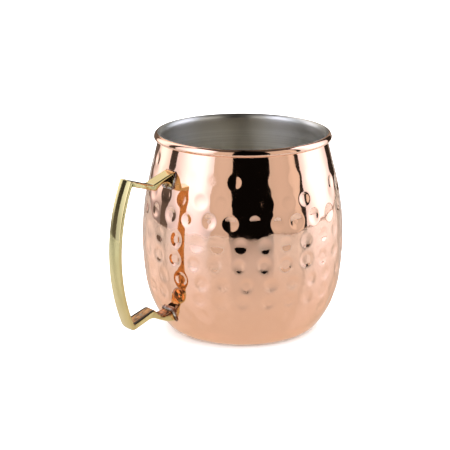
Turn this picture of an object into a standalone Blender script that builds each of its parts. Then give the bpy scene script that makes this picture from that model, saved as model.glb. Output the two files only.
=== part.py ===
"""Hammered copper mug with a stainless steel lining and a cast brass handle.

All sizes are in metres. The mug stands on the plane z = 0 with its axis on Z, and the handle
lies along +X. The copper shell and the steel lining are two nested turned cups: the shell's top
is rolled outwards into a bead, and the lining is turned over the inner half of that bead. The
handle is one flat brass bracket, joined to the shell by a bead of braze round each foot.
"""

import math

import bpy

# Body of revolution: a straight cone below the rim, two belly arcs, a shoulder arc that runs in
# under the belly, and the rounded corner of the base.
BELLY_RADIUS = 0.0481
BELLY_HEIGHT = 0.0441
UPPER_ARC_RADIUS = 0.127
UPPER_ARC_END = 15.0  # degrees above the horizontal, where the cone starts
LOWER_ARC_RADIUS = 0.1325
LOWER_ARC_END = -8.7  # degrees, where the shoulder arc starts
SHOULDER_ARC_RADIUS = 0.0449
BASE_CORNER_RADIUS = 0.008

# Rolled rim
RIM_HEIGHT = 0.095
RIM_BEAD_RADIUS = 0.0017
RIM_BEAD_CENTRE_RADIUS = 0.0402
RIM_BEAD_END = -95.0  # degrees round the bead, where it comes back to the cone

# Sheet metal
SHELL_WALL = 0.0005
LINER_WALL = 0.0005
JOINT_GAP = 0.0003
TURNED_STEPS = 60
MERGE_DISTANCE = 0.00001

# Handle, in its own plane: first number along X, second number along Z
GRIP_WIDTH = 0.0085
ARM_WIDTH = 0.0073
ARM_WIDENING = (0.0580, 0.0660)  # from here to here along X the arms widen to the grip
GRIP_THICKNESS = 0.0020
GRIP_BOW_RADIUS = 0.092
GRIP_REACH = 0.0750  # the furthest point of the grip from the mug's axis
GRIP_MIDDLE_HEIGHT = 0.0463
HANDLE_TOP_CORNER = 0.0821
HANDLE_BOTTOM_CORNER = 0.0119
HANDLE_EDGE_BEVEL = 0.0004
SHARP_EDGE_ANGLE = 50.0  # degrees; only the edges between the bracket's faces and sides are sharper
UPPER_FOOT = (0.0752, 0.0824)  # lowest and highest point of the foot on the shell
LOWER_FOOT = (0.0109, 0.0161)

# Braze beads
UPPER_BRAZE_RADIUS = 0.0005
LOWER_BRAZE_RADIUS = 0.0007
BRAZE_CORNER_STEPS = 4

COLOURS = {
    "outer_shell": ((0.80, 0.42, 0.27), 0.12),
    "inner_liner": ((0.42, 0.42, 0.41), 0.35),
    "handle": ((0.66, 0.57, 0.27), 0.28),
    "upper_braze": ((0.62, 0.57, 0.50), 0.35),
    "lower_braze": ((0.62, 0.57, 0.50), 0.35),
}


def clear_scene():
    """Remove what a new Blender scene holds."""
    for thing in list(bpy.data.objects):
        bpy.data.objects.remove(thing)


def arc(centre, radius, start, end, steps):
    """Points on an arc about centre, from angle start to angle end in degrees."""
    points = []
    for i in range(steps + 1):
        angle = math.radians(start + (end - start) * i / steps)
        points.append((centre[0] + radius * math.cos(angle), centre[1] + radius * math.sin(angle)))
    return points


def arc_end(centre, radius, angle):
    """The point at angle degrees on a circle about centre."""
    return arc(centre, radius, angle, angle, 1)[0]


UPPER_CENTRE = (BELLY_RADIUS - UPPER_ARC_RADIUS, BELLY_HEIGHT)
LOWER_CENTRE = (BELLY_RADIUS - LOWER_ARC_RADIUS, BELLY_HEIGHT)
SHOULDER_CENTRE = arc_end(LOWER_CENTRE, LOWER_ARC_RADIUS - SHOULDER_ARC_RADIUS, LOWER_ARC_END)
BASE_CORNER_ANGLE = -math.degrees(
    math.asin((SHOULDER_CENTRE[1] - BASE_CORNER_RADIUS) / (SHOULDER_ARC_RADIUS - BASE_CORNER_RADIUS))
)
BASE_CORNER_CENTRE = arc_end(
    SHOULDER_CENTRE, SHOULDER_ARC_RADIUS - BASE_CORNER_RADIUS, BASE_CORNER_ANGLE
)
BEAD_CENTRE = (RIM_BEAD_CENTRE_RADIUS, RIM_HEIGHT - RIM_BEAD_RADIUS)
NECK_HEIGHT = BEAD_CENTRE[1] - RIM_BEAD_RADIUS


def wall_line(inset):
    """The body's outline at a distance inset inside its outer face, from the neck to the axis."""
    cone_top = cone_point(inset, NECK_HEIGHT)
    line = [cone_top]
    line += arc(UPPER_CENTRE, UPPER_ARC_RADIUS - inset, UPPER_ARC_END, 0, 4)
    line += arc(LOWER_CENTRE, LOWER_ARC_RADIUS - inset, 0, LOWER_ARC_END, 2)[1:]
    line += arc(SHOULDER_CENTRE, SHOULDER_ARC_RADIUS - inset, LOWER_ARC_END, BASE_CORNER_ANGLE, 5)[1:]
    line += arc(BASE_CORNER_CENTRE, BASE_CORNER_RADIUS - inset, BASE_CORNER_ANGLE, -90, 3)[1:]
    line.append((0.0, inset))
    return line


def cone_point(inset, height):
    """The point at this height on the cone below the rim, or on the cone inset inside it."""
    foot = arc_end(UPPER_CENTRE, UPPER_ARC_RADIUS - inset, UPPER_ARC_END)
    return (foot[0] - (height - foot[1]) * math.tan(math.radians(UPPER_ARC_END)), height)


def radius_outside(height, clearance):
    """The radius, at a height above the base corner, of a surface this far outside the shell."""
    cone_start = arc_end(UPPER_CENTRE, UPPER_ARC_RADIUS + clearance, UPPER_ARC_END)[1]
    shoulder_start = arc_end(LOWER_CENTRE, LOWER_ARC_RADIUS + clearance, LOWER_ARC_END)[1]
    if height > cone_start:
        return cone_point(-clearance, height)[0]
    if height > BELLY_HEIGHT:
        centre, radius = UPPER_CENTRE, UPPER_ARC_RADIUS
    elif height > shoulder_start:
        centre, radius = LOWER_CENTRE, LOWER_ARC_RADIUS
    else:
        centre, radius = SHOULDER_CENTRE, SHOULDER_ARC_RADIUS
    return centre[0] + math.sqrt((radius + clearance) ** 2 - (height - centre[1]) ** 2)


def add_object(name, data, collection):
    """Put data in the scene as a named object with its own material."""
    thing = bpy.data.objects.new(name, data)
    collection.objects.link(thing)
    colour, roughness = COLOURS[name]
    material = bpy.data.materials.new(name)
    material.use_nodes = True
    shader = material.node_tree.nodes["Principled BSDF"]
    shader.inputs["Base Color"].default_value = (*colour, 1.0)
    shader.inputs["Metallic"].default_value = 1.0
    shader.inputs["Roughness"].default_value = roughness
    data.materials.append(material)
    return thing


def turned(name, outline, collection):
    """A solid of revolution about Z. The outline starts and ends on the axis."""
    mesh = bpy.data.meshes.new(name)
    corners = [(radius, 0.0, height) for radius, height in outline]
    mesh.from_pydata(corners, [(i, i + 1) for i in range(len(corners) - 1)], [])
    thing = add_object(name, mesh, collection)
    screw = thing.modifiers.new("turn", "SCREW")
    screw.axis = "Z"
    screw.steps = TURNED_STEPS
    screw.render_steps = TURNED_STEPS
    screw.use_merge_vertices = True
    screw.merge_threshold = MERGE_DISTANCE
    screw.use_smooth_shade = True
    return thing


def make_outer_shell(collection):
    """The copper cup: inner face, lap under the liner's lip, rim bead, outer face and base."""
    inner = wall_line(SHELL_WALL)[::-1]
    lap = arc(BEAD_CENTRE, RIM_BEAD_RADIUS - LINER_WALL - JOINT_GAP, 180, 90, 3)
    bead = arc(BEAD_CENTRE, RIM_BEAD_RADIUS, 90, RIM_BEAD_END, 7)
    outer = wall_line(0)
    outer[0] = cone_point(0, NECK_HEIGHT - SHELL_WALL)
    return turned("outer_shell", inner + lap + bead + outer, collection)


def make_inner_liner(collection):
    """The steel cup, a gap inside the shell, with its lip turned over the rim bead."""
    lip_end = 90 + math.degrees(JOINT_GAP / RIM_BEAD_RADIUS)
    inner = wall_line(SHELL_WALL + JOINT_GAP + LINER_WALL)[::-1]
    lip = arc(BEAD_CENTRE, RIM_BEAD_RADIUS, 180, lip_end, 3)
    lip_back = arc(BEAD_CENTRE, RIM_BEAD_RADIUS - LINER_WALL, lip_end, 180, 3)
    outer = wall_line(SHELL_WALL + JOINT_GAP)
    return turned("inner_liner", inner + lip + lip_back + outer, collection)


def grip_arc(radius, top, bottom, steps):
    """Points down the bowed grip on a circle about the bow's centre, between two heights."""
    centre = (GRIP_REACH - GRIP_BOW_RADIUS, GRIP_MIDDLE_HEIGHT)
    angles = [math.degrees(math.asin((z - centre[1]) / radius)) for z in (top, bottom)]
    return arc(centre, radius, angles[0], angles[1], steps)


def foot_end(low, high, steps):
    """Points up the foot's end face, which follows the shell at the joint gap."""
    heights = [low + (high - low) * i / steps for i in range(steps + 1)]
    return [(radius_outside(z, JOINT_GAP), z) for z in heights]


def rounded(corner, before, after, cut, steps=3):
    """The points that replace a corner of an outline by a curve starting this far from it."""
    starts = []
    for other in (before, after):
        share = cut / math.dist(corner, other)
        starts.append([c + (o - c) * share for c, o in zip(corner, other)])
    points = []
    for i in range(steps + 1):
        t = i / steps
        weights = ((1 - t) ** 2, 2 * t * (1 - t), t**2)
        trio = zip(starts[0], corner, starts[1])
        points.append(tuple(sum(w * v for w, v in zip(weights, axis)) for axis in trio))
    return points


def handle_outline():
    """The bracket's side view, clockwise from the top of the upper foot."""
    upper_kink_top = (0.0548, 0.0779)
    upper_kink_bottom = (0.0531, 0.0750)
    lower_kink_top = (0.0551, 0.0190)
    lower_kink_bottom = (0.0564, 0.0154)
    top_inner = (0.0660, 0.0797)
    bottom_inner = (0.0672, 0.0146)
    outer_face = grip_arc(GRIP_BOW_RADIUS, HANDLE_TOP_CORNER, HANDLE_BOTTOM_CORNER, 14)
    inner_face = grip_arc(GRIP_BOW_RADIUS - GRIP_THICKNESS, bottom_inner[1], top_inner[1], 14)
    upper_end = foot_end(*UPPER_FOOT, 3)
    lower_end = foot_end(*LOWER_FOOT, 2)

    upper_foot_top = [(0.0475, 0.0807)]
    upper_foot_bottom = [(0.0508, 0.0770), (0.0492, 0.0778), (0.0472, 0.0778), (0.0455, 0.0769)]
    lower_foot_bottom = [(0.0512, 0.0131), (0.0472, 0.0114)]
    lower_foot_top = [(0.0468, 0.0154), (0.0492, 0.0150), (0.0511, 0.0152), (0.0529, 0.0164)]

    outline = [upper_end[-1]] + upper_foot_top
    outline += rounded(upper_kink_top, upper_foot_top[-1], outer_face[0], 0.0010)
    outline += rounded(outer_face[0], upper_kink_top, outer_face[1], 0.0005)
    outline += outer_face[1:-1]
    outline += rounded(outer_face[-1], outer_face[-2], lower_kink_bottom, 0.0016, 4)
    outline += rounded(lower_kink_bottom, outer_face[-1], lower_foot_bottom[0], 0.0020)
    outline += lower_foot_bottom + lower_end + lower_foot_top
    outline += rounded(lower_kink_top, lower_foot_top[-1], bottom_inner, 0.0008)
    outline += inner_face
    outline += rounded(upper_kink_bottom, top_inner, upper_foot_bottom[0], 0.0006)
    outline += upper_foot_bottom + upper_end[:-1]
    return outline


def half_width(x):
    """Half the bracket's width at a point of its side view."""
    start, end = ARM_WIDENING
    share = min(max((x - start) / (end - start), 0.0), 1.0)
    return (ARM_WIDTH + (GRIP_WIDTH - ARM_WIDTH) * share) / 2


def make_handle(collection):
    """One flat brass bracket: bowed grip, two kinked arms and two feet shaped to the shell."""
    outline = handle_outline()
    count = len(outline)
    points = [(x, half_width(x), z) for x, z in outline]
    points += [(x, -half_width(x), z) for x, z in outline]
    faces = [tuple(range(count)), tuple(range(count, 2 * count))[::-1]]
    for i in range(count):
        j = (i + 1) % count
        faces.append((i, count + i, count + j, j))
    mesh = bpy.data.meshes.new("handle")
    mesh.from_pydata(points, [], faces)
    handle = add_object("handle", mesh, collection)
    bevel = handle.modifiers.new("soft edges", "BEVEL")
    bevel.width = HANDLE_EDGE_BEVEL
    bevel.segments = 2
    bevel.limit_method = "ANGLE"
    bevel.angle_limit = math.radians(SHARP_EDGE_ANGLE)
    return handle


def braze_path(foot, stand_off):
    """Points (across, up) of a loop that keeps this distance from a foot's rounded outline."""
    half = ARM_WIDTH / 2 - HANDLE_EDGE_BEVEL
    low, high = foot[0] + HANDLE_EDGE_BEVEL, foot[1] - HANDLE_EDGE_BEVEL
    corners = [(half, high), (-half, high), (-half, low), (half, low)]
    loop = []
    for quarter, corner in enumerate(corners):
        turn = 90 * quarter
        loop += arc(corner, stand_off + HANDLE_EDGE_BEVEL, turn, turn + 90, BRAZE_CORNER_STEPS)
    middles = [((a[0] + b[0]) / 2, (a[1] + b[1]) / 2) for a, b in zip(loop, loop[1:] + loop[:1])]
    corner_points = BRAZE_CORNER_STEPS + 1
    path = []
    for i, point in enumerate(loop):
        path.append(point)
        if i % corner_points == BRAZE_CORNER_STEPS:
            path.append(middles[i])
    return path


def make_braze(name, foot, bead_radius, collection):
    """A bead of filler metal that runs round one foot, in the corner between foot and shell."""
    stand_off = bead_radius + JOINT_GAP
    path = braze_path(foot, stand_off)
    curve = bpy.data.curves.new(name, "CURVE")
    curve.dimensions = "3D"
    curve.bevel_depth = bead_radius
    curve.bevel_resolution = 1
    spline = curve.splines.new("POLY")
    spline.points.add(len(path) - 1)
    for point, (across, up) in zip(spline.points, path):
        out = math.sqrt(radius_outside(up, stand_off) ** 2 - across**2)
        point.co = (out, across, up, 1.0)
    spline.use_cyclic_u = True
    return add_object(name, curve, collection)


def main():
    """Build the mug."""
    clear_scene()
    mug = bpy.data.collections.new("copper_mug")
    bpy.context.scene.collection.children.link(mug)
    make_outer_shell(mug)
    make_inner_liner(mug)
    make_handle(mug)
    make_braze("upper_braze", UPPER_FOOT, UPPER_BRAZE_RADIUS, mug)
    make_braze("lower_braze", LOWER_FOOT, LOWER_BRAZE_RADIUS, mug)


main()
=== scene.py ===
"""Looks of the hammered copper mug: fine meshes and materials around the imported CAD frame.

Sizes are in metres, in the CAD's own frame: the mug stands on z = 0 with its axis on Z, and the
handle lies along +X.
"""

import math
import random

import bpy
import numpy as np
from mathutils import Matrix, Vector


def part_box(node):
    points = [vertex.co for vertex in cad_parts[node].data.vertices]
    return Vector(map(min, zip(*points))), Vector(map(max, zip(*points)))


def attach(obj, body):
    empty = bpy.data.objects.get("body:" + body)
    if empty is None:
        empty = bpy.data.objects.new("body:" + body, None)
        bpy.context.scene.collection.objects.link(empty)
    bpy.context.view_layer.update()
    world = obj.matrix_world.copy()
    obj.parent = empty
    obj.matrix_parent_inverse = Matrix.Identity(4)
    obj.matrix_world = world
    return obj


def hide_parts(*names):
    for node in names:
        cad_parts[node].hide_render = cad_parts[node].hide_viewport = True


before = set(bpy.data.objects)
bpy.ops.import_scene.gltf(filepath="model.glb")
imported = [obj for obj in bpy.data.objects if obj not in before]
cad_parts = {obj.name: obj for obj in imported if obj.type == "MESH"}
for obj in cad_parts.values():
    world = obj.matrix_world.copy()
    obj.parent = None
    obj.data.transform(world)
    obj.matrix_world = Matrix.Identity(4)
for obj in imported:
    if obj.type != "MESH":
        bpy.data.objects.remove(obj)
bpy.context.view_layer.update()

# Body of revolution, as in the CAD
SHELL_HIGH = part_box("outer_shell")[1]
BELLY_RADIUS = SHELL_HIGH.y
RIM_HEIGHT = SHELL_HIGH.z
BELLY_HEIGHT = 0.0441
UPPER_ARC_RADIUS = 0.127
UPPER_ARC_END = 15.0
LOWER_ARC_RADIUS = 0.1325
LOWER_ARC_END = -8.7
SHOULDER_ARC_RADIUS = 0.0449
BASE_CORNER_RADIUS = 0.008
RIM_BEAD_RADIUS = 0.0017
RIM_BEAD_CENTRE_RADIUS = 0.0402
SHEET = 0.0005
GAP = 0.0003
# Between the lining's edge and the copper, on top of the rim bead
LIP_GAP = 0.00006
# Heights between which a painted shade darkens the lining towards its lip
PAINTED_LIP_SHADE_BAND = (0.0855, 0.0915)

# Points round each cup, and the spacing of the points down each of its faces
SHELL_COLUMNS = 640
SHELL_SPACING = 0.00048
LINING_COLUMNS = 360
LINING_SPACING = 0.0012
HIDDEN_SPACING = 0.004
# Places of the base's last rings, as shares of its flat radius
BASE_PLACES = (0.97, 0.85, 0.6, 0.3)

# Hammering
DIMPLES_ROUND = 28
DIMPLE_RADIUS = 0.0046
DIMPLE_DEPTH = 0.00042
DIMPLE_EDGE = 0.62
# Random differences between dimples: place, as a share of their spacing round the mug and as a
# height, then size, stretch and depth as multiples
TURN_SPREAD = 0.07
HEIGHT_SPREAD = 0.0005
SIZES = (0.88, 1.10)
STRETCHES = (0.84, 1.06)
DEPTHS = (0.65, 1.15)
# The hammering stops this far below the neck
PLAIN_BAND = 0.001
UNDULATIONS = 6
UNDULATION_DEPTH = 0.00003
UNDULATIONS_ROUND = (8, 26)
UNDULATIONS_UP = (-60, 60)
# The lining's soft waves
LINING_WAVES = 5
LINING_WAVE_DEPTH = 0.00005
LINING_WAVES_ROUND = (9, 30)
LINING_WAVES_LEAN = (-40, 40)
# Each row of dimples: its height, its turn in degrees to the right of the camera, and its depth
# as a multiple of DIMPLE_DEPTH
DIMPLE_ROWS = (
    (0.0810, -5.5, 0.25),
    (0.0712, 0.5, 0.72),
    (0.0626, -6.6, 0.90),
    (0.0527, -0.5, 0.80),
    (0.0433, -1.5, 1.50),
    (0.0338, 2.5, 1.38),
    (0.0252, 1.0, 1.35),
    (0.0172, 3.0, 0.95),
)
# Behind the handle, the blows between these turns and heights are harder, by this factor
HARD_TURNS = (-78.0, -38.0)
HARD_HEIGHTS = (0.050, 0.066)
HARDER = 1.55
# Stray blows outside the rows: height, turn, depth
STRAY_DIMPLES = (
    (0.0808, -4.2, 0.62),
    (0.0750, 67.0, 0.90),
    (0.0850, -70.0, 0.60),
)
STRAY_SIZE = 0.85
STRAY_STRETCH = 0.9

# Handle
HANDLE_LOW, HANDLE_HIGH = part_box("handle")
GRIP_WIDTH = HANDLE_HIGH.y - HANDLE_LOW.y
ARM_WIDTH = 0.0073
ARM_WIDENING = (0.0580, 0.0660)
GRIP_REACH = HANDLE_HIGH.x
GRIP_THICKNESS = 0.0020
GRIP_BOW_RADIUS = 0.092
GRIP_MIDDLE_HEIGHT = 0.0463
GRIP_CROWN_RADIUS = 0.025
# The crown of the grip's outer face grows over this stretch of X
CROWN_START = 0.0640
CROWN_END = 0.0680
HANDLE_EDGE = 0.00045
ARM_EDGE = 0.0008
# The arms' soft edges sharpen to the grip's over this distance inside the bow
EDGE_CHANGE = 0.001
# Points of a cross-section: steps round each edge, and places across its two wide faces
EDGE_STEPS = 5
FACE_PLACES = (0.7, 0.35, 0, -0.35, -0.7)
# Cross-sections along each part of the bracket
FOOT_RINGS = 12
CORNER_RINGS = 6
ARM_RINGS = 10
GRIP_RINGS = 60
# The top of the lower arm lies where X times the slope plus Z is the level
ARM_SLOPE = (0.0190 - 0.0146) / (0.0672 - 0.0551)
ARM_TOP_LEVEL = 0.0146 + 0.0672 * ARM_SLOPE
HANDLE_TOP_CORNER = 0.0821
HANDLE_BOTTOM_CORNER = 0.0115
UPPER_FOOT = (0.0752, 0.0824)
LOWER_FOOT = (0.0109, 0.0161)
# The heat stain: from the lower arm's kink on, and darkest between these distances aside
KINK_BAND = (0.0545, 0.0550)
STAIN_EDGE = (0.0019, 0.0026)

# Camera, as the photograph has it: plan angle from +X and height above the horizon in degrees,
# distance, the height on the mug's axis that it is turned about, how far it looks past that place
# to its left and above, and its lens in millimetres
CAMERA_PLAN = 50.27
CAMERA_ELEVATION = 16.37
CAMERA_DISTANCE = 0.650
CAMERA_AIM_HEIGHT = 0.048
CAMERA_ASIDE = 0.008398
CAMERA_ABOVE = 0.000672
CAMERA_LENS = 108.36


def clamped(value):
    """The value, held between 0 and 1."""
    return min(max(value, 0.0), 1.0)


def arc(centre, radius, start, end, steps):
    """Points on an arc about centre, from angle start to angle end in degrees."""
    angles = [math.radians(start + (end - start) * i / steps) for i in range(steps + 1)]
    return [(centre[0] + radius * math.cos(a), centre[1] + radius * math.sin(a)) for a in angles]


UPPER_CENTRE = (BELLY_RADIUS - UPPER_ARC_RADIUS, BELLY_HEIGHT)
LOWER_CENTRE = (BELLY_RADIUS - LOWER_ARC_RADIUS, BELLY_HEIGHT)
SHOULDER_CENTRE = arc(
    LOWER_CENTRE, LOWER_ARC_RADIUS - SHOULDER_ARC_RADIUS, LOWER_ARC_END, LOWER_ARC_END, 1
)[0]
CORNER_ANGLE = -math.degrees(
    math.asin((SHOULDER_CENTRE[1] - BASE_CORNER_RADIUS) / (SHOULDER_ARC_RADIUS - BASE_CORNER_RADIUS))
)
CORNER_CENTRE = arc(
    SHOULDER_CENTRE, SHOULDER_ARC_RADIUS - BASE_CORNER_RADIUS, CORNER_ANGLE, CORNER_ANGLE, 1
)[0]
BEAD_CENTRE = (RIM_BEAD_CENTRE_RADIUS, RIM_HEIGHT - RIM_BEAD_RADIUS)
BEAD_SAG = 0.0005
# The wall's first point stands this far below the neck, clear of the bead's end
BELOW_BEAD = 0.0002
NECK_HEIGHT = BEAD_CENTRE[1] - RIM_BEAD_RADIUS
# Heights between which the waves of shell and lining grow from nothing to their full depth
SHELL_BELOW_NECK = (NECK_HEIGHT - 0.004, NECK_HEIGHT - 0.016)
LINING_BELOW_NECK = (NECK_HEIGHT - 0.003, NECK_HEIGHT - 0.018)
LINING_ABOVE_FLOOR = (0.025, 0.045)


def spaced_arc(centre, radius, start, end, spacing):
    """An arc with a point about every spacing."""
    steps = max(2, math.ceil(abs(math.radians(end - start)) * radius / spacing))
    return arc(centre, radius, start, end, steps)


def bead_arc(radius, start, end, steps):
    """Points round the rim bead, whose widest place lies lower than its middle."""
    points = []
    for x, z in arc(BEAD_CENTRE, radius, start, end, steps):
        across = (z - BEAD_CENTRE[1]) / RIM_BEAD_RADIUS
        points.append((x, z - BEAD_SAG * (1 - across**2)))
    return points


def wall_line(inset, spacing):
    """The body's outline at a distance inset inside its outer face, from the neck to near the
    axis."""
    foot = arc(UPPER_CENTRE, UPPER_ARC_RADIUS - inset, UPPER_ARC_END, UPPER_ARC_END, 1)[0]
    slope = math.tan(math.radians(UPPER_ARC_END))
    steps = max(2, math.ceil((NECK_HEIGHT - foot[1]) / spacing))
    line = []
    for i in range(steps):
        z = NECK_HEIGHT + (foot[1] - NECK_HEIGHT) * i / steps
        line.append((foot[0] - (z - foot[1]) * slope, z))
    line += spaced_arc(UPPER_CENTRE, UPPER_ARC_RADIUS - inset, UPPER_ARC_END, 0, spacing)
    line += spaced_arc(LOWER_CENTRE, LOWER_ARC_RADIUS - inset, 0, LOWER_ARC_END, spacing)[1:]
    shoulder = SHOULDER_ARC_RADIUS - inset
    line += spaced_arc(SHOULDER_CENTRE, shoulder, LOWER_ARC_END, CORNER_ANGLE, spacing)[1:]
    line += spaced_arc(CORNER_CENTRE, BASE_CORNER_RADIUS - inset, CORNER_ANGLE, -90, spacing)[1:]
    flat = line[-1][0]
    line += [(flat * share, inset) for share in BASE_PLACES]
    return line


def outer_radius(height, clearance=0.0):
    """The radius, at a height above the base corner, of a surface this far outside the shell."""
    cone_start = arc(UPPER_CENTRE, UPPER_ARC_RADIUS + clearance, UPPER_ARC_END, UPPER_ARC_END, 1)[0]
    shoulder_start = arc(LOWER_CENTRE, LOWER_ARC_RADIUS + clearance, LOWER_ARC_END, LOWER_ARC_END, 1)
    if height > cone_start[1]:
        return cone_start[0] - (height - cone_start[1]) * math.tan(math.radians(UPPER_ARC_END))
    if height > BELLY_HEIGHT:
        centre, radius = UPPER_CENTRE, UPPER_ARC_RADIUS
    elif height > shoulder_start[0][1]:
        centre, radius = LOWER_CENTRE, LOWER_ARC_RADIUS
    else:
        centre, radius = SHOULDER_CENTRE, SHOULDER_ARC_RADIUS
    return centre[0] + math.sqrt((radius + clearance) ** 2 - (height - centre[1]) ** 2)


# Materials ------------------------------------------------------------------------------------


class Nodes:
    """A new Principled material and short calls for adding nodes to it."""

    def __init__(self, name):
        self.material = bpy.data.materials.new(name)
        self.material.use_nodes = True
        self.tree = self.material.node_tree
        self.shader = self.tree.nodes["Principled BSDF"]

    def add(self, kind, inputs=None, **settings):
        """A new node. Its inputs take plain values or other nodes' sockets."""
        node = self.tree.nodes.new(kind)
        for key, value in settings.items():
            setattr(node, key, value)
        for key, value in (inputs or {}).items():
            if isinstance(value, bpy.types.NodeSocket):
                self.tree.links.new(value, node.inputs[key])
            else:
                node.inputs[key].default_value = value
        return node

    def feed(self, socket, source):
        """Links a socket to one of the shader's inputs."""
        self.tree.links.new(source, self.shader.inputs[socket])

    def noise(self, scale, detail=2.0, stretch=(1, 1, 1)):
        """Noise on object coordinates in metres; scale is in features per metre."""
        place = self.add("ShaderNodeTexCoord")
        mapped = self.add("ShaderNodeMapping", {"Vector": place.outputs["Object"]})
        mapped.inputs["Scale"].default_value = stretch
        return self.add(
            "ShaderNodeTexNoise",
            {"Vector": mapped.outputs["Vector"], "Scale": scale, "Detail": detail},
        ).outputs["Fac"]

    def ramp(self, source, low, high, low_value, high_value):
        """source between low and high, mapped to low_value and high_value."""
        return self.add(
            "ShaderNodeMapRange",
            {0: source, 1: low, 2: high, 3: low_value, 4: high_value},
        ).outputs[0]

    def mix(self, factor, a, b):
        """A blend from colour a to colour b, each a plain colour or another node's socket."""
        node = self.add("ShaderNodeMix", {0: factor}, data_type="RGBA")
        for socket, colour in ((6, a), (7, b)):
            if isinstance(colour, bpy.types.NodeSocket):
                self.tree.links.new(colour, node.inputs[socket])
            else:
                node.inputs[socket].default_value = (*colour, 1)
        return node.outputs[2]

    def calculate(self, operation, *values):
        """One step of arithmetic on numbers or sockets."""
        return self.add("ShaderNodeMath", dict(enumerate(values)), operation=operation).outputs[0]

    def place(self):
        """The X, Y and Z sockets of the place on the object."""
        place = self.add("ShaderNodeTexCoord").outputs["Object"]
        return self.add("ShaderNodeSeparateXYZ", {0: place}).outputs

    def bump(self, source, strength, distance):
        """Gives the shader a bumpy normal."""
        node = self.add("ShaderNodeBump", {"Height": source})
        node.inputs["Strength"].default_value = strength
        node.inputs["Distance"].default_value = distance
        self.feed("Normal", node.outputs["Normal"])


def copper_material():
    """Polished copper: deep pink-orange, slightly uneven in tone, with faint polishing haze."""
    m = Nodes("hammered_copper")
    m.shader.inputs["Metallic"].default_value = 1.0
    m.shader.inputs["Specular Tint"].default_value = (1.0, 0.90, 0.80, 1.0)
    tone = m.noise(70, 3)
    m.feed("Base Color", m.mix(tone, (0.90, 0.505, 0.325), (0.94, 0.550, 0.372)))
    haze = m.noise(260, 4)
    m.feed("Roughness", m.ramp(haze, 0.3, 0.75, 0.035, 0.075))
    m.bump(m.noise(1500, 2), 0.02, 0.0002)
    return m.material


def steel_material():
    """Stainless steel brushed round the axis, with a painted shade that darkens it by the lip."""
    m = Nodes("brushed_stainless")
    m.shader.inputs["Metallic"].default_value = 1.0
    m.shader.inputs["Anisotropic"].default_value = 0.75
    m.shader.inputs["Anisotropic Rotation"].default_value = 0.25
    tangent = m.add("ShaderNodeTangent", direction_type="RADIAL", axis="Z")
    m.feed("Tangent", tangent.outputs["Tangent"])
    lines = m.noise(16, 5, (0.6, 0.6, 90))
    line_tone = m.ramp(lines, 0.25, 0.75, 0, 1)
    brushed = m.mix(line_tone, (0.80, 0.752, 0.652), (0.99, 0.941, 0.837))
    # Painted shade: the lining's colour darkens towards its lip to dim the reflection seen there.
    painted_lip_shade = m.ramp(m.place()["Z"], *PAINTED_LIP_SHADE_BAND, 0, 1)
    m.feed("Base Color", m.mix(painted_lip_shade, brushed, (0.69, 0.628, 0.53)))
    m.feed("Roughness", m.ramp(lines, 0.3, 0.7, 0.35, 0.46))
    m.bump(lines, 0.12, 0.0002)
    return m.material


def heat_stain(m):
    """The stain's colour: brown streaks with pale blotches, and burnt dark along the arm's edges."""
    streaks = m.ramp(m.noise(1300, 3, (0.22, 1.0, 0.22)), 0.40, 0.60, 0, 1)
    burnt = m.mix(streaks, (0.18, 0.080, 0.032), (0.56, 0.28, 0.115))
    blotches = m.ramp(m.noise(900, 4, (0.5, 1.0, 0.5)), 0.58, 0.62, 0, 1)
    stain = m.mix(blotches, burnt, (0.30, 0.24, 0.17))
    place = m.place()
    by_edge = m.ramp(m.calculate("ABSOLUTE", place["Y"]), *STAIN_EDGE, 0, 1)
    past_kink = m.ramp(place["X"], *KINK_BAND, 0, 1)
    return m.mix(m.calculate("MULTIPLY", by_edge, past_kink), stain, (0.05, 0.028, 0.014))


def stain_and_painted_shadow_share(m):
    """Where the stain is: on the lower arm's top from its kink to the grip, and round its foot, where
    it also runs down the top strip of the side face as a painted shadow under the braze bead.
    """
    place = m.place()
    level = m.calculate("MULTIPLY_ADD", place["X"], ARM_SLOPE, place["Z"])
    on_top = m.ramp(level, ARM_TOP_LEVEL - 0.00040, ARM_TOP_LEVEL - 0.00015, 0, 1)
    inside_grip = m.ramp(place["X"], 0.0671, 0.0667, 0, 1)
    past_kink = m.ramp(place["X"], *KINK_BAND, 0, 1)
    arm = m.calculate("MULTIPLY", m.calculate("MULTIPLY", on_top, inside_grip), past_kink)
    # Round the foot: heat stain on the top, and a painted shadow under the braze bead down the top
    # strip of the side face.
    by_foot = m.ramp(place["X"], 0.0525, 0.0500, 0, 1)
    top_and_side_shadow = m.ramp(place["Z"], 0.0138, 0.0146, 0, 1)
    foot = m.calculate("MULTIPLY", by_foot, top_and_side_shadow)
    low_arm = m.ramp(place["Z"], 0.021, 0.020, 0, 1)
    return m.calculate("MULTIPLY", m.calculate("MAXIMUM", arm, foot), low_arm)


def brass_material():
    """Cast brass, polished, but left stained by the heat on the top of its lower arm, with the
    stain's colours also painted as a shadow under the braze bead at the lower foot.
    """
    m = Nodes("satin_brass")
    m.shader.inputs["Metallic"].default_value = 1.0
    brass = m.mix(m.noise(140, 3), (0.68, 0.51, 0.215), (0.78, 0.60, 0.275))
    m.feed("Base Color", m.mix(stain_and_painted_shadow_share(m), brass, heat_stain(m)))
    strokes = m.noise(300, 3, (1.0, 1.0, 0.15))
    m.feed("Roughness", m.ramp(strokes, 0.3, 0.7, 0.05, 0.11))
    m.bump(m.noise(220, 3), 0.05, 0.0004)
    return m.material


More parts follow.
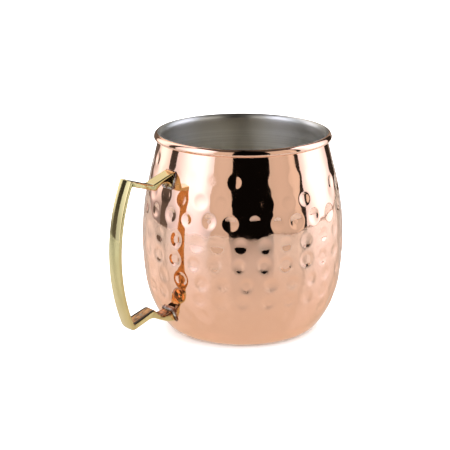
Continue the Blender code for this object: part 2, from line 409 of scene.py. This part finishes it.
def braze_material():
    """Filler metal: silvery where it is clean and brown where the flux has burnt."""
    m = Nodes("braze_metal")
    m.shader.inputs["Metallic"].default_value = 1.0
    tone = m.noise(420, 3)
    clean = m.ramp(tone, 0.4, 0.6, 0, 1)
    m.feed("Base Color", m.mix(clean, (0.26, 0.15, 0.10), (0.72, 0.66, 0.58)))
    m.feed("Roughness", m.ramp(tone, 0.3, 0.7, 0.35, 0.2))
    m.bump(m.noise(1400, 2), 0.3, 0.0002)
    return m.material


def floor_material():
    """A pale matt floor."""
    m = Nodes("pale_floor")
    m.shader.inputs["Roughness"].default_value = 0.8
    m.shader.inputs["Specular IOR Level"].default_value = 0.1
    m.feed("Base Color", m.mix(m.noise(3, 2), (0.90, 0.90, 0.90), (0.93, 0.93, 0.93)))
    return m.material


def table_material():
    """The same floor as the mug's reflections see it: pale with a gloss, with a painted warm bounce
    of the copper's light round the mug and a painted cool pool of softbox light at the sides."""
    m = Nodes("glossy_table")
    m.shader.inputs["Roughness"].default_value = 0.12
    m.shader.inputs["IOR"].default_value = 1.5
    place = m.add("ShaderNodeTexCoord").outputs["Object"]
    away = m.add("ShaderNodeVectorMath", {0: place}, operation="LENGTH").outputs["Value"]
    # Painted light: the copper's warm bounce is painted on the table round the mug's foot.
    white = m.mix(m.ramp(away, *PAINTED_BOUNCE_BAND, 0, 1), TABLE_PAINTED_COPPER_BOUNCE, TABLE_WHITE)
    plan = math.radians(CAMERA_PLAN)
    aside = m.add("ShaderNodeVectorMath", {0: place}, operation="DOT_PRODUCT")
    aside.inputs[1].default_value = (-math.sin(plan), math.cos(plan), 0)
    distance = m.calculate("ABSOLUTE", aside.outputs["Value"])
    # Painted light: a brighter, cool pool of softbox light is painted on the table on both sides of
    # the camera's line.
    painted_softbox_share = m.ramp(distance, *PAINTED_SOFTBOX_LIGHT_BAND, 0, 1)
    m.feed("Base Color", m.mix(painted_softbox_share, white, TABLE_PAINTED_SOFTBOX_LIGHT))
    return m.material


# Meshes ---------------------------------------------------------------------------------------


def smooth_mesh(name, points, faces, material):
    """A new smooth-shaded mesh object."""
    mesh = bpy.data.meshes.new(name)
    mesh.from_pydata(np.asarray(points).tolist(), [], faces)
    mesh.shade_smooth()
    mesh.materials.append(material)
    piece = bpy.data.objects.new(name, mesh)
    bpy.context.scene.collection.objects.link(piece)
    return piece


def ring_faces(rows, columns):
    """Quads between neighbouring rows of points, each row a closed ring of columns points."""
    index = np.arange(rows * columns).reshape(rows, columns)
    after = np.roll(index, -1, axis=1)
    quads = np.stack([index[:-1], index[1:], after[1:], after[:-1]], axis=-1)
    return quads.reshape(-1, 4).tolist()


def lathe(name, outline, columns, material, sink):
    """A closed solid of revolution about Z. The outline runs from the axis to the axis, up the
    inner side and down the outer side; sink gives how far each point is pushed in."""
    line = np.array(outline)
    turn = 2 * math.pi * np.arange(columns) / columns
    across = np.gradient(line, axis=0)
    normal = np.stack([-across[:, 1], across[:, 0]], axis=1)
    normal /= np.linalg.norm(normal, axis=1)[:, None]
    pushed = sink(line, turn)
    radius = line[:, 0][:, None] - normal[:, 0][:, None] * pushed
    height = line[:, 1][:, None] - normal[:, 1][:, None] * pushed
    points = np.stack([radius * np.cos(turn), radius * np.sin(turn), height], axis=-1)
    points = points.reshape(-1, 3)
    rows = len(line)
    faces = ring_faces(rows, columns)
    first, last = len(points), len(points) + 1
    points = np.vstack([points, [0, 0, line[0, 1]], [0, 0, line[-1, 1]]])
    end = (rows - 1) * columns
    for i in range(columns):
        j = (i + 1) % columns
        faces.append((first, i, j))
        faces.append((last, end + j, end + i))
    return smooth_mesh(name, points, faces, material)


def is_hard_blow(aside, height):
    """Whether a dimple lies in the harder hammered patch behind the handle."""
    return HARD_TURNS[0] < aside < HARD_TURNS[1] and HARD_HEIGHTS[0] < height < HARD_HEIGHTS[1]


def dimples():
    """Every dimple: its turn about the axis, height, radius, stretch across and depth."""
    random.seed(7)
    found = []
    for height, turn, depth in DIMPLE_ROWS:
        for i in range(DIMPLES_ROUND):
            place = i + random.uniform(-TURN_SPREAD, TURN_SPREAD)
            aside = (turn + 360 * place / DIMPLES_ROUND + 180) % 360 - 180
            angle = math.radians(CAMERA_PLAN + aside)
            middle = height + random.uniform(-HEIGHT_SPREAD, HEIGHT_SPREAD)
            radius = DIMPLE_RADIUS * random.uniform(*SIZES)
            stretch = random.uniform(*STRETCHES)
            deep = DIMPLE_DEPTH * depth * random.uniform(*DEPTHS)
            if is_hard_blow(aside, height):
                deep *= HARDER
            found.append((angle, middle, radius, stretch, deep))
    for height, turn, depth in STRAY_DIMPLES:
        angle = math.radians(CAMERA_PLAN + turn)
        found.append((angle, height, STRAY_SIZE * DIMPLE_RADIUS, STRAY_STRETCH, DIMPLE_DEPTH * depth))
    return found


def dent(share):
    """The shape of a dimple: its depth's share at this share of its radius. Round like a hammer's
    face inside, and turned over to meet the wall within a narrow edge."""
    inner = 1 - share**2 / DIMPLE_EDGE
    outer = np.clip(1 - share, 0, None) ** 2 / (1 - DIMPLE_EDGE)
    return np.where(share < DIMPLE_EDGE, inner, outer)


def hammering(line, turn):
    """How far each point of the shell's outer face is hammered in."""
    pushed = np.zeros((len(line), len(turn)))
    outer = np.arange(len(line)) > np.argmax(line[:, 1])
    steps = np.r_[0, np.linalg.norm(np.diff(line, axis=0), axis=1)]
    along = np.cumsum(steps)
    rows = np.where(outer & (line[:, 1] < NECK_HEIGHT - PLAIN_BAND))[0]
    for angle, height, radius, stretch, depth in dimples():
        middle = rows[np.argmin(abs(line[rows, 1] - height))]
        near = rows[abs(along[rows] - along[middle]) < radius]
        up = (along[near] - along[middle])[:, None]
        apart = (turn[None, :] - angle + math.pi) % (2 * math.pi) - math.pi
        share = np.hypot(up, apart * line[near, 0][:, None] / stretch) / radius
        pushed[near] += depth * dent(share)
    pushed[rows] += undulations(line[rows, 1], turn)
    return pushed


def grown(heights, band):
    """How far each height is through a band of heights, as a share from 0 to 1."""
    return np.clip((heights - band[0]) / (band[1] - band[0]), 0, 1)


def undulations(heights, turn):
    """Long shallow waves over the whole face, which fade out below the neck."""
    random.seed(11)
    fade = grown(heights, SHELL_BELOW_NECK)[:, None]
    pushed = np.zeros((len(heights), len(turn)))
    for _ in range(UNDULATIONS):
        round_waves = random.randint(*UNDULATIONS_ROUND)
        up_waves = 2 * math.pi * random.uniform(*UNDULATIONS_UP)
        phase = random.uniform(0, 2 * math.pi)
        wave = np.sin(round_waves * turn[None, :] + up_waves * heights[:, None] + phase)
        pushed += UNDULATION_DEPTH * fade * (1 + wave) / 2
    return pushed


def make_copper_body(material):
    """The hammered shell with its rolled rim bead."""
    inner = wall_line(SHEET, HIDDEN_SPACING)[::-1]
    lap = bead_arc(RIM_BEAD_RADIUS - SHEET - GAP, 180, 90, 4)
    bead = bead_arc(RIM_BEAD_RADIUS, 90, -95, 28)
    outer = wall_line(0, SHELL_SPACING)
    neck_radius, neck_height = outer[0]
    outer[0] = (neck_radius, neck_height - BELOW_BEAD)
    return lathe("copper_body", inner + lap + bead + outer, SHELL_COLUMNS, material, hammering)


def lining_waves(line, turn):
    """How far each point of the lining is sunk into its sheet. It is less than nothing on the
    inner side, which stands out towards the axis in soft upright waves between lip and floor."""
    random.seed(3)
    fade = grown(line[:, 1], LINING_BELOW_NECK) * grown(line[:, 1], LINING_ABOVE_FLOOR)
    waves = np.zeros((len(line), len(turn)))
    for _ in range(LINING_WAVES):
        round_waves = random.randint(*LINING_WAVES_ROUND)
        phase = random.uniform(0, 2 * math.pi)
        lean = random.uniform(*LINING_WAVES_LEAN)
        waves += np.sin(round_waves * turn[None, :] + lean * line[:, 1][:, None] + phase)
    inner = np.arange(len(line)) < np.argmax(line[:, 1])
    return -LINING_WAVE_DEPTH * (fade * inner)[:, None] * (waves + LINING_WAVES)


def make_steel_lining(material):
    """The lining, turned over the inner half of the rim bead."""
    lip_end = 90 + math.degrees(LIP_GAP / RIM_BEAD_RADIUS)
    inner = wall_line(2 * SHEET + GAP, LINING_SPACING)[::-1]
    lip = bead_arc(RIM_BEAD_RADIUS, 180, lip_end, 14)
    lip_back = bead_arc(RIM_BEAD_RADIUS - SHEET, lip_end, 180, 6)
    outer = wall_line(SHEET + GAP, HIDDEN_SPACING)
    outline = inner + lip + lip_back + outer
    return lathe("steel_lining", outline, LINING_COLUMNS, material, lining_waves)


# Handle ---------------------------------------------------------------------------------------


def grip_arc(radius, top, bottom, steps):
    """Points down the bowed grip on a circle about the bow's centre, between two heights."""
    centre = (GRIP_REACH - GRIP_BOW_RADIUS, GRIP_MIDDLE_HEIGHT)
    angles = [math.degrees(math.asin((z - centre[1]) / radius)) for z in (top, bottom)]
    return arc(centre, radius, angles[0], angles[1], steps)


def rounded(corner, before, after, cut, steps=6):
    """The points that replace a corner of an outline by a curve starting this far from it."""
    starts = []
    for other in (before, after):
        share = cut / math.dist(corner, other)
        starts.append([c + (o - c) * share for c, o in zip(corner, other)])
    points = []
    for i in range(steps + 1):
        t = i / steps
        weights = ((1 - t) ** 2, 2 * t * (1 - t), t**2)
        trio = zip(starts[0], corner, starts[1])
        points.append(tuple(sum(w * v for w, v in zip(weights, axis)) for axis in trio))
    return points


def smooth_run(points, steps=4):
    """A Catmull-Rom curve through a short run of points."""
    run = [points[0]] + list(points) + [points[-1]]
    curve = []
    for a, b, c, d in zip(run, run[1:], run[2:], run[3:]):
        for i in range(steps):
            t = i / steps
            weights = (
                (-t + 2 * t**2 - t**3) / 2,
                (2 - 5 * t**2 + 3 * t**3) / 2,
                (t + 4 * t**2 - 3 * t**3) / 2,
                (t**3 - t**2) / 2,
            )
            quad = zip(a, b, c, d)
            curve.append(tuple(sum(w * v for w, v in zip(weights, axis)) for axis in quad))
    return curve + [points[-1]]


def resampled(points, count):
    """The same run of points with count points, evenly spaced, and both ends kept."""
    line = np.array(points)
    along = np.r_[0, np.cumsum(np.linalg.norm(np.diff(line, axis=0), axis=1))]
    places = np.linspace(0, along[-1], count)
    return np.stack([np.interp(places, along, line[:, k]) for k in (0, 1)], axis=1)


# Points (X, Z) of the side view. The outer side bends near each foot.
UPPER_BEND = (0.0475, 0.0807)
LOWER_BEND = (0.0512, 0.0131)
UNDER_FOOT = (0.0472, 0.0114)
# Each kink as the outer and the inner side have it
UPPER_KINK = (0.0548, 0.0779), (0.0531, 0.0750)
LOWER_KINK = (0.0564, 0.0154), (0.0551, 0.0190)
# Inside the bow, where the grip meets the arms
TOP_INNER = (0.0666, 0.0797)
BOTTOM_INNER = (0.0672, 0.0146)
UPPER_ARCH = [(0.0508, 0.0770), (0.0492, 0.0778), (0.0472, 0.0778), (0.0455, 0.0769)]
LOWER_HOLLOW = [(0.0529, 0.0164), (0.0511, 0.0152), (0.0492, 0.0150), (0.0468, 0.0154)]


def foot_corners(heights):
    """The foot's two corners at the shell, the lower one first."""
    return [(outer_radius(z, GAP), z) for z in heights]


def outer_runs():
    """The bracket's outer side as runs of points from the upper foot to the lower one, each with
    its number of cross-sections. A rounded corner has a run of its own, to keep it crisp. A few
    points along, the grip shows which way it leaves its corner."""
    grip = grip_arc(GRIP_BOW_RADIUS, HANDLE_TOP_CORNER, HANDLE_BOTTOM_CORNER, GRIP_RINGS)
    kink = rounded(UPPER_KINK[0], UPPER_BEND, grip[0], cut=0.0012)
    top = rounded(grip[0], UPPER_KINK[0], grip[5], cut=0.00025)
    bottom = rounded(grip[-1], grip[-6], LOWER_KINK[0], cut=0.0013, steps=8)
    low_kink = rounded(LOWER_KINK[0], grip[-1], LOWER_BEND, cut=0.0022)
    low_foot = foot_corners(LOWER_FOOT)[0]
    return [
        ([foot_corners(UPPER_FOOT)[1], UPPER_BEND, kink[0]], FOOT_RINGS),
        (kink, CORNER_RINGS),
        ([kink[-1], top[0]], ARM_RINGS),
        (top, CORNER_RINGS),
        (top[-1:] + grip[1:-2] + bottom[:5], GRIP_RINGS),
        (bottom[4:] + low_kink[:1], ARM_RINGS),
        (low_kink, CORNER_RINGS),
        ([low_kink[-1], LOWER_BEND, UNDER_FOOT, low_foot], FOOT_RINGS),
    ]


def inner_runs():
    """The same runs along the bracket's inner side."""
    grip = grip_arc(GRIP_BOW_RADIUS - GRIP_THICKNESS, TOP_INNER[1], BOTTOM_INNER[1], GRIP_RINGS)
    kink = rounded(UPPER_KINK[1], TOP_INNER, UPPER_ARCH[0], cut=0.0007)
    low_kink = rounded(LOWER_KINK[1], BOTTOM_INNER, LOWER_HOLLOW[0], cut=0.0009)
    top = rounded(grip[0], UPPER_KINK[1], grip[5], cut=0.0005)
    bottom = rounded(grip[-1], grip[-6], LOWER_KINK[1], cut=0.0005)
    arch = smooth_run(foot_corners(UPPER_FOOT)[:1] + UPPER_ARCH[::-1])
    hollow = smooth_run(LOWER_HOLLOW + foot_corners(LOWER_FOOT)[1:])
    return [
        (arch + kink[-1:], FOOT_RINGS),
        (kink[::-1], CORNER_RINGS),
        ([kink[0], top[-1]], ARM_RINGS),
        (top[::-1], CORNER_RINGS),
        (top[:1] + grip[1:-1] + bottom[:4], GRIP_RINGS),
        (bottom[3:] + low_kink[:1], ARM_RINGS),
        (low_kink, CORNER_RINGS),
        (low_kink[-1:] + hollow, FOOT_RINGS),
    ]


def handle_sides():
    """The bracket's side view as two lines from the upper foot to the lower one, its outer side
    and its inner side. Points with the same number lie opposite each other."""
    sides = []
    for runs in (outer_runs(), inner_runs()):
        pieces = [resampled(points, count)[:-1] for points, count in runs]
        last_point = np.array(runs[-1][0][-1:])
        sides.append(np.vstack(pieces + [last_point]))
    return sides


def half_width(x):
    """Half the bracket's width at a point of its side view."""
    start, end = ARM_WIDENING
    share = clamped((x - start) / (end - start))
    return (ARM_WIDTH + (GRIP_WIDTH - ARM_WIDTH) * share) / 2


def section(half, thickness, edge):
    """A cross-section of the bracket with rounded edges, counted round: how far across and how far
    out each point is."""
    flat = half - edge
    outer_face = [(flat * place, thickness) for place in FACE_PLACES]
    inner_face = [(-flat * place, 0) for place in FACE_PLACES]
    return (
        arc((flat, thickness - edge), edge, 0, 90, EDGE_STEPS)
        + outer_face
        + arc((-flat, thickness - edge), edge, 90, 180, EDGE_STEPS)
        + arc((-flat, edge), edge, 180, 270, EDGE_STEPS)
        + inner_face
        + arc((flat, edge), edge, 270, 360, EDGE_STEPS)
    )


def handle_ring(out, back):
    """The bracket's cross-section between a point of its outer side and the one opposite. On the
    grip it has sharper edges and a crowned outer face."""
    bow_centre = np.array([GRIP_REACH - GRIP_BOW_RADIUS, GRIP_MIDDLE_HEIGHT])
    thickness = np.linalg.norm(out - back)
    ahead = (out - back) / thickness
    from_centre = np.linalg.norm(out - bow_centre)
    away = (out - bow_centre) / from_centre
    on_grip = clamped((from_centre - GRIP_BOW_RADIUS + EDGE_CHANGE) / EDGE_CHANGE)
    edge = ARM_EDGE + (HANDLE_EDGE - ARM_EDGE) * on_grip
    crowned = clamped((out[0] - CROWN_START) / (CROWN_END - CROWN_START))
    ring = []
    for across, reach in section(half_width(out[0]), thickness, edge):
        crown = GRIP_CROWN_RADIUS - math.sqrt(GRIP_CROWN_RADIUS**2 - across**2)
        crown *= crowned * min(reach / thickness, 1)
        x, z = back + ahead * reach - away * crown
        ring.append((x, across, z))
    return ring


def make_brass_handle(material):
    """The bracket: rounded cross-sections from the upper foot round the grip to the lower foot."""
    rings = [handle_ring(out, back) for out, back in zip(*handle_sides())]
    count = len(rings[0])
    faces = [quad[::-1] for quad in ring_faces(len(rings), count)]
    first_end = list(range(count))[::-1]
    last_end = [(len(rings) - 1) * count + i for i in range(count)]
    faces += [first_end, last_end]
    handle = smooth_mesh("brass_handle", np.concatenate(rings), faces, material)
    shading = handle.modifiers.new("flat faces stay flat", "WEIGHTED_NORMAL")
    shading.weight = 100
    return handle


# Braze beads ----------------------------------------------------------------------------------

BRAZE_STEPS = 240
BRAZE_SIDES = 14
BRAZE_CORNER_STEPS = 8
# How far a bead's middle stands off foot and shell, as a share of its radius
BRAZE_STAND_OFF = 0.35


def braze_path(foot, stand_off, steps):
    """Points (across, up) of a closed loop at this distance from a foot's outline, and the loop's
    length."""
    half = ARM_WIDTH / 2 - HANDLE_EDGE
    low, high = foot[0] + HANDLE_EDGE, foot[1] - HANDLE_EDGE
    corners = [(half, high), (-half, high), (-half, low), (half, low)]
    loop = []
    for quarter, corner in enumerate(corners):
        start = 90 * quarter
        loop += arc(corner, stand_off + HANDLE_EDGE, start, start + 90, BRAZE_CORNER_STEPS)
    loop = np.array(loop + loop[:1])
    along = np.r_[0, np.cumsum(np.linalg.norm(np.diff(loop, axis=0), axis=1))]
    places = np.linspace(0, along[-1], steps, endpoint=False)
    return np.stack([np.interp(places, along, loop[:, k]) for k in (0, 1)], axis=1), along[-1]


def make_braze(name, foot, heavy, radius, thinning, rib_pitch, rib_height, material):
    """A bead of filler metal round one foot, lying in the corner between foot and shell. It is
    thickest at the height called heavy and thins out away from it, by the share called thinning
    over the foot's height. The ribs swell it by up to the share called rib_height."""
    steps, sides = BRAZE_STEPS, BRAZE_SIDES
    path, length = braze_path(foot, radius * BRAZE_STAND_OFF, steps)
    centres = []
    for across, up in path:
        reach = outer_radius(up, radius * BRAZE_STAND_OFF)
        centres.append((math.sqrt(reach**2 - across**2), across, up))
    centres = np.array(centres)
    ahead = np.roll(centres, -1, axis=0) - np.roll(centres, 1, axis=0)
    ahead /= np.linalg.norm(ahead, axis=1)[:, None]
    outwards = centres * [1, 1, 0]
    outwards /= np.linalg.norm(outwards, axis=1)[:, None]
    sideways = np.cross(ahead, outwards)
    sideways /= np.linalg.norm(sideways, axis=1)[:, None]
    outwards = np.cross(sideways, ahead)
    ribs = max(1, round(length / rib_pitch))
    phase = 2 * math.pi * ribs * np.arange(steps) / steps
    share = 1 - thinning * np.abs(path[:, 1] - heavy) / (foot[1] - foot[0])
    swell = radius * share * (1 + rib_height * np.abs(np.sin(phase / 2)))
    turn = 2 * math.pi * np.arange(sides) / sides
    ring = (
        centres[:, None, :]
        + (swell[:, None] * np.cos(turn))[..., None] * outwards[:, None, :]
        + (swell[:, None] * np.sin(turn))[..., None] * sideways[:, None, :]
    )
    index = np.arange(steps * sides).reshape(steps, sides)
    after = np.roll(index, -1, axis=1)
    next_index, next_after = np.roll(index, -1, axis=0), np.roll(after, -1, axis=0)
    quads = np.stack([index, after, next_after, next_index], axis=-1)
    return smooth_mesh(name, ring.reshape(-1, 3), quads.reshape(-1, 4).tolist(), material)


# Studio ---------------------------------------------------------------------------------------

TABLE_RADIUS = 0.70
TABLE_WHITE = (0.318, 0.336, 0.357)
# Painted light: the copper's warm bounce, painted on the table under the mug
TABLE_PAINTED_COPPER_BOUNCE = (0.325, 0.316, 0.303)
# Painted light: the softboxes' cool pool, painted on the table at the sides
TABLE_PAINTED_SOFTBOX_LIGHT = (0.350, 0.414, 0.471)
# Where the painted bounce fades, from the mug's axis, and the painted softbox light, from the
# camera's line
PAINTED_BOUNCE_BAND = (0.04, 0.16)
PAINTED_SOFTBOX_LIGHT_BAND = (0.06, 0.25)
CARD_HEIGHT = 0.72
CEILING_HEIGHT = 0.85
# On the camera's right, the lowest strip of the cards is dim and draws a line above the table
CARD_FOOT = 0.0045
CARD_FOOT_LIGHT = 0.30
TABLE_CLEARANCE = 0.0002
CARD_STEPS = 8
# A card has its middle's brightness from this share of the way in from its sides
FULL_BRIGHTNESS = 0.8
# Heights between which a card goes from its foot's brightness to its full brightness
NEAR_TABLE = (0.0, 0.14)
OVER_BACK = (0.24, 0.32)
LOW_SHADE = (0.01, 0.09)
HIGH_SHADE = (0.0, 0.20)
# A card as bright as a softbox in its middle takes the softboxes' cool tint, a dimmer one less
SOFTBOX_EDGE_COLOUR = (0.86, 1.0, 1.25)
SOFTBOX_MIDDLE_COLOUR = (0.92, 1.0, 1.34)
DIMMEST_TINTED = 1.2
FULLY_TINTED = 2.2
CEILING_SHARE = 0.08
FLOOR_RADIUS = 6.0
ROUND_EDGES = 96
WORLD_LIGHT = 2.8
LAMP_SIZE = 0.9
LAMP_WATTS = 8.4
LAMP_PLACE = (-0.15, 0.05, 1.1)
LAMP_TILT = (-4, -8)
# Where the cards round the mug meet: degrees to the right of the camera, and distance. Each card
# runs on to the next place. Then its brightness at its sides and in its middle, its foot's
# brightness as a multiple of that, and the heights over which it changes. Only the mug's
# reflections see these cards.
CARDS = (
    (-180, 0.55, 0.10, 0.10, 1.0, NEAR_TABLE),
    (-172, 0.53, 1.05, 1.10, 0.15, OVER_BACK),
    (-152, 0.50, 1.05, 1.10, 0.15, OVER_BACK),
    (-137, 0.42, 1.30, 1.90, 0.25, LOW_SHADE),
    (-102, 0.38, 0.06, 0.06, 2.5, NEAR_TABLE),
    (-90, 0.40, 1.35, 2.25, 0.60, HIGH_SHADE),
    (-36, 0.60, 0.74, 0.78, 0.88, NEAR_TABLE),
    (-12.5, 0.60, 0.003, 0.003, 1.0, NEAR_TABLE),
    (33.5, 0.60, 0.72, 0.76, 0.9, NEAR_TABLE),
    (60, 0.60, 0.85, 0.95, 0.9, NEAR_TABLE),
    (69, 0.60, 0.03, 0.03, 1.0, NEAR_TABLE),
    (75, 0.60, 1.30, 2.30, 0.9, NEAR_TABLE),
    (133, 0.50, 0.03, 0.03, 1.0, NEAR_TABLE),
    (151, 0.50, 0.35, 0.35, 1.0, NEAR_TABLE),
    (162, 0.52, 0.70, 0.70, 0.35, OVER_BACK),
    (176, 0.55, 0.10, 0.10, 1.0, NEAR_TABLE),
)


def softbox_tint(tree, share, brightness):
    """A socket with a softbox's tint from its sides to its middle, as far as the card's brightness
    calls for it."""
    tint = tree.nodes.new("ShaderNodeMix")
    tint.data_type = "RGBA"
    tinted = min((brightness - DIMMEST_TINTED) / (FULLY_TINTED - DIMMEST_TINTED), 1)
    for socket, colour in ((6, SOFTBOX_EDGE_COLOUR), (7, SOFTBOX_MIDDLE_COLOUR)):
        paler = [1 + (channel - 1) * tinted for channel in colour]
        tint.inputs[socket].default_value = (*paler, 1)
    tree.links.new(share, tint.inputs[0])
    return tint.outputs[2]


def soft_ramp(tree, source, low, high, low_value, high_value):
    """A socket that goes smoothly from low_value to high_value."""
    ramp = tree.nodes.new("ShaderNodeMapRange")
    ramp.interpolation_type = "SMOOTHSTEP"
    tree.links.new(source, ramp.inputs[0])
    for socket, value in enumerate((low, high, low_value, high_value), start=1):
        ramp.inputs[socket].default_value = value
    return ramp.outputs[0]


def card_material(name, edge, middle, foot=1.0, fade=NEAR_TABLE):
    """Plain light that may grow from a card's sides to its middle and from its foot upwards."""
    material = bpy.data.materials.new(name)
    material.use_nodes = True
    tree = material.node_tree
    tree.nodes.clear()
    output = tree.nodes.new("ShaderNodeOutputMaterial")
    light = tree.nodes.new("ShaderNodeEmission")
    tree.links.new(light.outputs[0], output.inputs["Surface"])
    place = tree.nodes.new("ShaderNodeUVMap")
    split = tree.nodes.new("ShaderNodeSeparateXYZ")
    tree.links.new(place.outputs[0], split.inputs[0])
    if middle > DIMMEST_TINTED:
        tree.links.new(softbox_tint(tree, split.outputs["X"], middle), light.inputs["Color"])
    product = tree.nodes.new("ShaderNodeMath")
    product.operation = "MULTIPLY"
    inwards = soft_ramp(tree, split.outputs["X"], 0, FULL_BRIGHTNESS, edge, middle)
    tree.links.new(inwards, product.inputs[0])
    tree.links.new(soft_ramp(tree, split.outputs["Y"], *fade, foot, 1), product.inputs[1])
    tree.links.new(product.outputs[0], light.inputs["Strength"])
    return material


def only_reflected(thing):
    """Only the mug's own reflections see this: not the camera, the floor or the shadows."""
    thing.visible_camera = False
    thing.visible_diffuse = False
    thing.visible_transmission = False
    thing.visible_volume_scatter = False
    thing.visible_shadow = False


def on_plan(angle, distance):
    """X and Y of a place this many degrees to the right of the camera, as the mug sees it."""
    turn = math.radians(CAMERA_PLAN + angle)
    return distance * math.cos(turn), distance * math.sin(turn)


def stage_card(card, places):
    """Gives a card its UV places, one for each point, and puts it on the stage."""
    layer = card.data.uv_layers.new(name="UVMap")
    for loop in card.data.loops:
        layer.data[loop.index].uv = places[loop.vertex_index]
    only_reflected(card)


def upright_card(name, start, end, low, high, material):
    """An upright card between two places (degrees, distance). U runs from 0 at its sides to 1 in
    its middle, and V is the height."""
    ends = (on_plan(*start), on_plan(*end))
    points, places = [], []
    for i in range(CARD_STEPS + 1):
        share = i / CARD_STEPS
        x, y = (a + (b - a) * share for a, b in zip(*ends))
        for z in (low, high):
            points.append((x, y, z))
            places.append((1 - abs(2 * share - 1), z))
    faces = [(2 * i, 2 * i + 2, 2 * i + 3, 2 * i + 1) for i in range(CARD_STEPS)]
    stage_card(smooth_mesh(name, points, faces, material), places)


def ceiling_wedge(name, start, end, material):
    """The part of the ceiling between a card's top edge and the point over the mug."""
    points = [(0, 0, CEILING_HEIGHT), (*on_plan(*start), CARD_HEIGHT), (*on_plan(*end), CARD_HEIGHT)]
    places = [(1, 1), (0, 1), (0, 1)]
    stage_card(smooth_mesh(name, points, [(0, 1, 2)], material), places)


def round_sheet(name, radius, material):
    """A flat disc at z = 0."""
    bpy.ops.mesh.primitive_circle_add(vertices=ROUND_EDGES, radius=radius, fill_type="NGON")
    sheet = bpy.context.object
    sheet.name = name
    sheet.data.materials.append(material)
    return sheet


def make_floor():
    """The matt floor that the camera sees, and the glossy table that the mug reflects."""
    floor = round_sheet("floor", FLOOR_RADIUS, floor_material())
    floor.visible_glossy = False
    table = round_sheet("glossy_table", TABLE_RADIUS, table_material())
    only_reflected(table)


def make_lights():
    """A white world and one soft lamp overhead. They light the floor and the table, while the
    mug shows the cards."""
    world = bpy.data.worlds.new("soft_white")
    bpy.context.scene.world = world
    world.use_nodes = True
    background = world.node_tree.nodes["Background"]
    background.inputs["Color"].default_value = (1, 1, 1, 1)
    background.inputs["Strength"].default_value = WORLD_LIGHT

    lamp = bpy.data.lights.new("overhead_softbox", "AREA")
    lamp.shape = "SQUARE"
    lamp.size = LAMP_SIZE
    lamp.energy = LAMP_WATTS
    overhead = bpy.data.objects.new("overhead_softbox", lamp)
    overhead.location = LAMP_PLACE
    overhead.rotation_euler = (math.radians(LAMP_TILT[0]), math.radians(LAMP_TILT[1]), 0)
    bpy.context.scene.collection.objects.link(overhead)
    overhead.visible_camera = False
    overhead.visible_glossy = False


def make_cards():
    """The tent of cards round and over the mug."""
    dark_foot = card_material("dark_foot", CARD_FOOT_LIGHT, CARD_FOOT_LIGHT)
    for i, (angle, distance, edge, middle, foot, fade) in enumerate(CARDS):
        start = (angle, distance)
        end = CARDS[(i + 1) % len(CARDS)][:2]
        material = card_material(f"card_{i}", edge, middle, foot, fade)
        upright_card(f"card_{i}", start, end, CARD_FOOT, CARD_HEIGHT, material)
        foot_material = dark_foot if angle > 0 else material
        upright_card(f"card_foot_{i}", start, end, TABLE_CLEARANCE, CARD_FOOT, foot_material)
        ceiling = card_material(f"ceiling_{i}", edge * CEILING_SHARE, middle * CEILING_SHARE)
        ceiling_wedge(f"ceiling_{i}", start, end, ceiling)


def make_camera():
    """The camera at the photograph's viewing angle and distance."""
    plan, up = math.radians(CAMERA_PLAN), math.radians(CAMERA_ELEVATION)
    back = Vector((math.cos(plan) * math.cos(up), math.sin(plan) * math.cos(up), math.sin(up)))
    aim = Vector((0, 0, CAMERA_AIM_HEIGHT))
    place = aim + back * CAMERA_DISTANCE
    right = Vector((-math.sin(plan), math.cos(plan), 0))
    above = back.cross(right)
    looked_at = aim - right * CAMERA_ASIDE + above * CAMERA_ABOVE
    camera = bpy.data.objects.new("camera", bpy.data.cameras.new("camera"))
    camera.data.lens = CAMERA_LENS
    camera.location = place
    camera.rotation_euler = (looked_at - place).to_track_quat("-Z", "Y").to_euler()
    bpy.context.scene.collection.objects.link(camera)
    bpy.context.scene.camera = camera


def stand_for(piece, node):
    """The piece rides on the mug's one body and is shown in place of a CAD node."""
    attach(piece, "root")
    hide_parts(node)


make_camera()
make_floor()
make_lights()
make_cards()
braze = braze_material()
stand_for(make_copper_body(copper_material()), "outer_shell")
stand_for(make_steel_lining(steel_material()), "inner_liner")
stand_for(make_brass_handle(brass_material()), "handle")
upper_bead = make_braze(
    "upper_braze_bead",
    foot=UPPER_FOOT,
    heavy=UPPER_FOOT[0],
    radius=0.00055,
    thinning=0.93,
    rib_pitch=0.0014,
    rib_height=0.5,
    material=braze,
)
lower_bead = make_braze(
    "lower_braze_bead",
    foot=LOWER_FOOT,
    heavy=LOWER_FOOT[1],
    radius=0.0007,
    thinning=0.70,
    rib_pitch=0.0008,
    rib_height=0.3,
    material=braze,
)
stand_for(upper_bead, "upper_braze")
stand_for(lower_bead, "lower_braze")
bpy.context.scene.view_settings.view_transform = "Standard"
